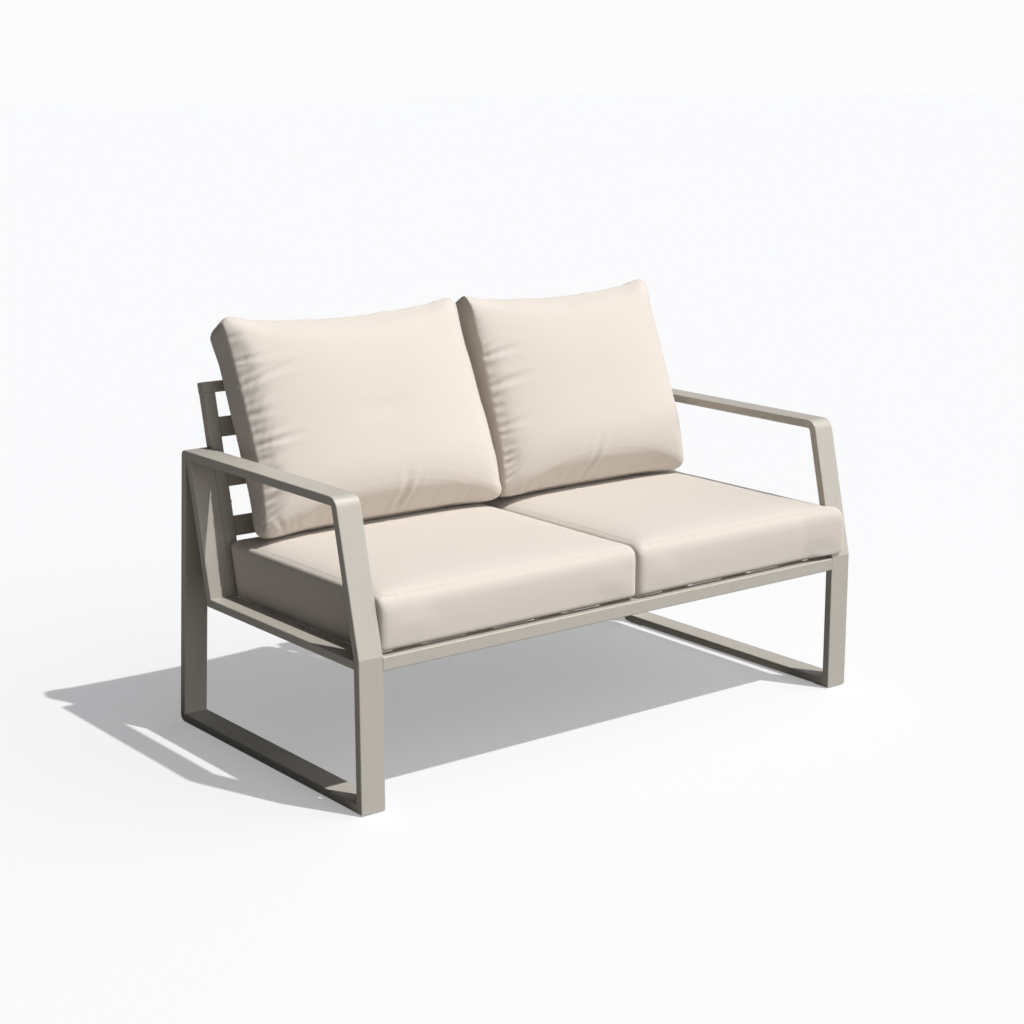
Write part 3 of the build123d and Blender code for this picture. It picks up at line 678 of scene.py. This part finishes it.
def woven_cover():
    """Cream solution-dyed polyester in plain weave: matt, slightly slubby, with a soft nap at the rim."""
    material, shader = new_material("cream woven outdoor polyester")
    on_cloth = {"Vector": (add_node(material, "ShaderNodeUVMap", {"uv_map": "cloth"}), "UV")}
    yarn = {"Scale": wave_mm / yarn_pitch_mm, "Distortion": 0.5, "Detail": 1.0}
    warp = add_node(material, "ShaderNodeTexWave", {"bands_direction": "X", **yarn}, on_cloth)
    weft = add_node(material, "ShaderNodeTexWave", {"bands_direction": "Y", **yarn}, on_cloth)
    slub = add_node(material, "ShaderNodeTexNoise", {"Scale": 1000 / slub_mm, "Detail": 4.0}, on_cloth)
    weave = add_node(material, "ShaderNodeMath", {"operation": "MULTIPLY"}, {0: (warp, "Fac"), 1: (weft, "Fac")})
    mottling = {0: (weave, "Value"), 2: (slub, "Fac")}
    mottle = add_node(material, "ShaderNodeMath", {"operation": "MULTIPLY_ADD", 1: 0.45}, mottling)
    tones = {"data_type": "RGBA", colour_a: linear(cover_thread_hex), colour_b: linear(cover_hex)}
    colour = add_node(material, "ShaderNodeMix", tones, {"Factor": (mottle, "Value")})
    raised = {"Strength": 0.35, "Distance": 0.0004}
    bump = add_node(material, "ShaderNodeBump", raised, {"Height": (weave, "Value")})
    nap = {"Roughness": 0.9, "Sheen Weight": 0.15, "Sheen Roughness": 0.5, "Specular IOR Level": 0.2}
    set_up(material, shader, nap, {"Base Color": (colour, colour_out), "Normal": (bump, "Normal")})
    return material


cover_fabric = woven_cover()


def lay_weave(cushion, pad, rest):
    """UV map in metres: each face takes the two axes of its cushion that it lies along."""
    mesh = pad.data
    corners = np.empty(len(mesh.loops), dtype=np.int64)
    mesh.loops.foreach_get("vertex_index", corners)
    totals = np.empty(len(mesh.polygons), dtype=np.int64)
    mesh.polygons.foreach_get("loop_total", totals)
    normals = np.empty(len(mesh.polygons) * 3)
    mesh.polygons.foreach_get("normal", normals)
    facing = np.abs(normals.reshape(-1, 3) @ cushion.axes.T).argmax(1)
    kept = np.array([(1, 2), (0, 2), (0, 1)])[np.repeat(facing, totals)]
    flat = np.take_along_axis(cushion.local(rest)[corners], kept, 1)
    mesh.uv_layers.new(name="cloth").data.foreach_set("uv", flat.ravel())


curl_height = 0.20
curl_power = 2.2
curl_back = 0.042
curl_lift_ends, curl_lift_middle = 0.010, 0.012
curl_furthest = 2


def curled_foot(cushion, rest):
    """How far a back cushion's front seam rolls back and up off the seat near its foot.

    The roll grows with n, the distance in front of the rear panel, and with (1 - s / curl height)^power
    towards the foot, and the middle of the seam lifts further than its ends.
    """
    if "seat" in cushion.body:
        return 0.0
    form = cushion.form
    x, s, n = cushion.local(rest).T
    forward = np.clip(n / form["boxing"], 0, curl_furthest)
    near = np.clip(1 - (s + n * form["foot_slope"]) / curl_height, 0, 1) ** curl_power * forward
    across = np.clip(np.abs(x) / (form["width"] / 2), 0, 1)
    lift = curl_lift_ends + curl_lift_middle * (1 - across ** 2)
    return np.stack([0 * x, curl_back * near, lift * near], 1)


def shade_smooth(mesh):
    """Shades every face of a mesh smooth."""
    mesh.polygons.foreach_set("use_smooth", np.ones(len(mesh.polygons), dtype=bool))


def finished_cover(cushion, pad, rest, move, seats):
    """Adds seams and gathers to the swollen form, clears it of its neighbours and dresses it."""
    lay_weave(cushion, pad, rest)
    points = rest + move
    normals = normals_of(pad.data, points)
    points = points + normals * cushion.relief(rest)[:, None] + curled_foot(cushion, rest)
    points = clear_of_neighbours(cushion, points, seats)
    pad.data.vertices.foreach_set("co", points.ravel())
    pad.data.update()
    pad.data.materials.clear()
    pad.data.materials.append(cover_fabric)
    shade_smooth(pad.data)
    smooth = pad.modifiers.new("subdivision", "SUBSURF")
    smooth.levels = smooth.render_levels = 1
    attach(pad, cushion.body)
    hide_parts(cushion.body + "_cover", cushion.body + "_filling")
    return points


covers = [finished_cover(*item, None) for item in zip(cushions[:2], pads[:2], rests[:2], moves[:2])]
seat_tops = np.concatenate(covers)
covers += [finished_cover(*item, seat_tops) for item in zip(cushions[2:], pads[2:], rests[2:], moves[2:])]

# Seams and zips. Lockstitch in bonded polyester thread beside both seams of each boxing, and a nylon coil
# zip on its own tape, in the rear boxing of a seat cushion and in the foot of a back cushion.
stitch_pitch = 0.0056
stitch_length = 0.0038
stitch_width = 0.0009
stitch_inset_rings = 3
stitch_pinch = np.array([0.45, 1, 0.45])
stitch_rise = np.array([-0.25, 0.35, -0.25])
thread_sides = 6
nearest_points = 6


def carried(rest, final, normals, places):
    """Places on a form at rest, carried to the finished cover: the mean move of the nearest points.

    The mean is weighted by 1 / distance², and the normal there is the same mean of the normals.
    """
    moved, facing = [], []
    for part in np.array_split(places, max(len(places) // 400, 1)):
        gap = ((part ** 2).sum(1)[:, None] - 2 * part @ rest.T + (rest ** 2).sum(1)).clip(1e-9)
        near = np.argpartition(gap, nearest_points, axis=1)[:, :nearest_points]
        weight = 1 / np.take_along_axis(gap, near, 1)
        weight = (weight / weight.sum(1, keepdims=True))[..., None]
        moved.append(part + ((final - rest)[near] * weight).sum(1))
        facing.append((normals[near] * weight).sum(1))
    facing = np.concatenate(facing)
    return np.concatenate(moved), facing / np.linalg.norm(facing, axis=1, keepdims=True)


def stitches(loop, facing):
    """Short rods along a closed loop: each a hexagonal tube of three rings, pinched and sunk at its ends."""
    steps = np.linalg.norm(np.roll(loop, -1, 0) - loop, axis=1)
    run = np.concatenate([[0], np.cumsum(steps)])
    number = int(run[-1] / stitch_pitch)
    at = (np.arange(number)[:, None] + 0.5) * (run[-1] / number) + stitch_length * np.array([-0.5, 0, 0.5])
    closed, outward = np.concatenate([loop, loop[:1]]), np.concatenate([facing, facing[:1]])
    middle = np.stack([np.interp(at, run, closed[:, k]) for k in range(3)], -1)
    out = np.stack([np.interp(at, run, outward[:, k]) for k in range(3)], -1)
    out /= np.linalg.norm(out, axis=-1, keepdims=True)
    way = np.repeat((middle[:, 2:] - middle[:, :1]), 3, 1)
    side = np.cross(way, out)
    side /= np.linalg.norm(side, axis=-1, keepdims=True)
    radius = stitch_width / 2 * stitch_pinch[None, :, None, None]
    lift = stitch_width * stitch_rise[None, :, None]
    turn = np.arange(thread_sides) * (2 * math.pi / thread_sides)
    spokes = np.cos(turn)[:, None] * side[:, :, None] + np.sin(turn)[:, None] * out[:, :, None]
    points = (middle + out * lift)[:, :, None] + radius * spokes
    tubes = ring_faces(3, thread_sides)
    shift = (np.arange(number) * 3 * thread_sides)[:, None, None]
    quads, caps = np.array(tubes[:-2])[None] + shift, np.array(tubes[-2:])[None] + shift
    return points.reshape(-1, 3), quads.reshape(-1, 4).tolist() + caps.reshape(-1, thread_sides).tolist()


thread_hex = "#D9CFC3"
thread_twist_mm = 0.748
zip_hex = "#B9AFA2"
# Twice the real coil's pitch, which is too fine to show.
zip_coil_pitch_mm = 2.5661


def bonded_thread():
    """Bonded polyester sewing thread: a little lighter and glossier than the cloth, with its twist."""
    material, shader = new_material("bonded polyester thread")
    on_piece = {"Vector": (add_node(material, "ShaderNodeTexCoord"), "Object")}
    twist = add_node(material, "ShaderNodeTexWave", {"Scale": wave_mm / thread_twist_mm}, on_piece)
    bump = add_node(material, "ShaderNodeBump", {"Strength": 0.4, "Distance": 0.0002}, {"Height": (twist, "Fac")})
    set_up(material, shader, {"Base Color": linear(thread_hex), "Roughness": 0.5}, {"Normal": (bump, "Normal")})
    return material


def nylon_zip():
    """Nylon coil zip on woven tape: satin, with the turns of the coil across its run."""
    material, shader = new_material("sand nylon coil zip")
    on_piece = {"Vector": (add_node(material, "ShaderNodeTexCoord"), "Object")}
    turns = {"bands_direction": "X", "Scale": wave_mm / zip_coil_pitch_mm}
    coil = add_node(material, "ShaderNodeTexWave", turns, on_piece)
    bump = add_node(material, "ShaderNodeBump", {"Strength": 0.6, "Distance": 0.0005}, {"Height": (coil, "Fac")})
    set_up(material, shader, {"Base Color": linear(zip_hex), "Roughness": 0.45}, {"Normal": (bump, "Normal")})
    return material


thread, zip_nylon = bonded_thread(), nylon_zip()


def seam_stitches(cushion, rest, final, normals):
    """One piece with the stitches beside the front or top seam and the rear or lower seam."""
    rows = boxed_form(cushion.form)
    groups = []
    for row in (panel_rings - 1 - stitch_inset_rings, len(rows) - panel_rings + stitch_inset_rings):
        loop, facing = carried(rest, final, normals, cushion.world(rows[row]))
        groups.append(stitches(loop, facing))
    points = np.concatenate([group[0] for group in groups])
    faces = groups[0][1] + [[index + len(groups[0][0]) for index in face] for face in groups[1][1]]
    piece = mesh_object(cushion.body + "_seam_stitches", points, faces)
    piece.data.materials.append(thread)
    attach(piece, cushion.body)


zip_length = 0.420
zip_steps = 85
zip_tape_width = 0.026
zip_tape_height = 0.0005
zip_tape_tuck = -0.0012
zip_coil_width = 0.0056
zip_coil_height = 0.0016
zip_half_shares = np.array([0.08, 0.17, 0.24, 0.6, 0.98, 1])
foot_zip_share = 0.2


def zip_strip(cushion, rest, final, normals):
    """Zip: a profile of tape and half-round coil, carried along the middle of the rear or foot boxing."""
    form = cushion.form
    x = np.linspace(-zip_length / 2, zip_length / 2, zip_steps)
    across = zip_tape_width / 2 * np.concatenate([-zip_half_shares[::-1], [0], zip_half_shares])
    coil = np.clip(1 - (across / (zip_coil_width / 2)) ** 2, 0, 1) ** 0.5 * zip_coil_height
    height = zip_tape_height + coil
    height[[0, -1]] = zip_tape_tuck
    n = form["boxing"] / 2 + across
    seat = "seat" in cushion.body
    s = form["height"] + n * form["top_slope"] if seat else -n * form["foot_slope"] + form["foot_draw"]
    grid = np.stack(np.broadcast_arrays(x[:, None], s[None], n[None]), -1)
    places, facing = carried(rest, final, normals, cushion.world(grid.reshape(-1, 3)))
    raised = height * (1 if seat else foot_zip_share)
    places += facing * np.tile(raised, len(x))[:, None]
    count = len(across)
    i = (np.arange(len(x) - 1) * count)[:, None] + np.arange(count - 1)
    quads = np.stack([i, i + 1, i + count + 1, i + count], -1).reshape(-1, 4)
    if not seat:
        quads = quads[:, ::-1]
    piece = mesh_object(cushion.body + "_coil_zip", places, quads.tolist())
    piece.data.materials.append(zip_nylon)
    shade_smooth(piece.data)
    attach(piece, cushion.body)
    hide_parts(cushion.body + "_zip")


for cushion, pad, rest, final in zip(cushions, pads, rests, covers):
    normals = normals_of(pad.data, final)
    seam_stitches(cushion, rest, final, normals)
    zip_strip(cushion, rest, final, normals)

# Floor and light. A plain pale floor, which the camera sees a little brighter than it lights the sofa, one
# soft sun from the front right, and a dim sky that is brighter on that side and bluish on the other.
floor_hex = "#BEBEBE"
floor_bounce_hex = "#8F8D8A"
floor_glow = 0.335
floor_reach = 60.0
sun_way = (0.2346, -0.4335, 0.8701)
sun_strength = 3.25
sun_degrees = 0.8
sky_bright_way = (0.74, -0.66, -0.12)
sky_dim_below = -0.35
sky_rise_power = 2.0
sky_bright, sky_dim = 1.98, 0.035
sky_seen = 0.975
sky_shade_colour = (0.74, 0.83, 1.0, 1.0)
white = (1.0, 1.0, 1.0, 1.0)

floor_corners = np.array([(-1, -1, 0), (1, -1, 0), (1, 1, 0), (-1, 1, 0)]) * floor_reach
floor = mesh_object("studio_floor", floor_corners, [(0, 1, 2, 3)])
floor_finish, floor_shader = new_material("white studio floor")
seen = add_node(floor_finish, "ShaderNodeLightPath")
floor_tones = {"data_type": "RGBA", colour_a: linear(floor_bounce_hex), colour_b: linear(floor_hex)}
floor_tone = add_node(floor_finish, "ShaderNodeMix", floor_tones, {"Factor": (seen, "Is Camera Ray")})
glowing = {"operation": "MULTIPLY", 1: floor_glow}
floor_lift = add_node(floor_finish, "ShaderNodeMath", glowing, {0: (seen, "Is Camera Ray")})
set_up(floor_finish, floor_shader, {"Emission Color": white, "Roughness": 1.0, "Specular IOR Level": 0.0},
       {"Base Color": (floor_tone, colour_out), "Emission Strength": (floor_lift, "Value")})
floor.data.materials.append(floor_finish)

sun_data = bpy.data.lights.new("sun", "SUN")
sun_data.energy = sun_strength
sun_data.angle = math.radians(sun_degrees)
sun = bpy.data.objects.new("sun", sun_data)
sun.rotation_euler = Vector(sun_way).to_track_quat("Z", "Y").to_euler()
bpy.context.scene.collection.objects.link(sun)

world = bpy.data.worlds.new("studio sky")
world.use_nodes = True
bpy.context.scene.world = world
sky = world.node_tree.nodes["Background"]
seen = add_node(world, "ShaderNodeLightPath")
way = add_node(world, "ShaderNodeTexCoord")
towards = {"operation": "DOT_PRODUCT", 1: sky_bright_way}
side = add_node(world, "ShaderNodeVectorMath", towards, {0: (way, "Generated")})
shares = {"From Min": sky_dim_below, "From Max": 1.0, "To Min": 0.0, "To Max": 1.0}
share = add_node(world, "ShaderNodeMapRange", shares, {"Value": (side, "Value")})
rise = add_node(world, "ShaderNodeMath", {"operation": "POWER", 1: sky_rise_power}, {0: (share, "Result")})
brightness = {"operation": "MULTIPLY_ADD", 1: sky_bright, 2: sky_dim}
power = add_node(world, "ShaderNodeMath", brightness, {0: (rise, "Value")})
tints = {"data_type": "RGBA", colour_a: sky_shade_colour, colour_b: white}
tint = add_node(world, "ShaderNodeMix", tints, {"Factor": (share, "Result")})
shade = add_node(world, "ShaderNodeMix", {"data_type": "RGBA", colour_b: white},
                 {"Factor": (seen, "Is Camera Ray"), colour_a: (tint, colour_out)})
strength = add_node(world, "ShaderNodeMix", {"data_type": "FLOAT", 3: sky_seen},
                    {"Factor": (seen, "Is Camera Ray"), 2: (power, "Value")})
set_up(world, sky, None, {"Color": (shade, colour_out), "Strength": (strength, 0)})
bpy.context.scene.view_settings.view_transform = "Standard"

# Camera. A long lens on a 36 mm sensor, from the front left and a little above the back cushions. Its place,
# turn and length follow from the straight edges of the frame in the photograph.
lens_mm = 69.56
sensor_mm = 36.0
eye_azimuth = -37.706
eye_elevation = 13.011
eye_roll = -0.121
eye_distance = 4.6806
eye_target = (-0.0284, 0.0, 0.4776)
sight_limit = 200.0

camera_data = bpy.data.cameras.new("camera")
camera_data.lens = lens_mm
camera_data.sensor_width = sensor_mm
camera_data.clip_end = sight_limit
camera = bpy.data.objects.new("camera", camera_data)
bpy.context.scene.collection.objects.link(camera)
turn, lift = math.radians(eye_azimuth), math.radians(eye_elevation)
back = Vector((math.sin(turn) * math.cos(lift), -math.cos(turn) * math.cos(lift), math.sin(lift)))
camera.location = Vector(eye_target) + back * eye_distance
pointing = (-back).to_track_quat("-Z", "Y")
camera.rotation_mode = "QUATERNION"
camera.rotation_quaternion = pointing @ Quaternion((0, 0, 1), math.radians(eye_roll))
bpy.context.scene.camera = camera
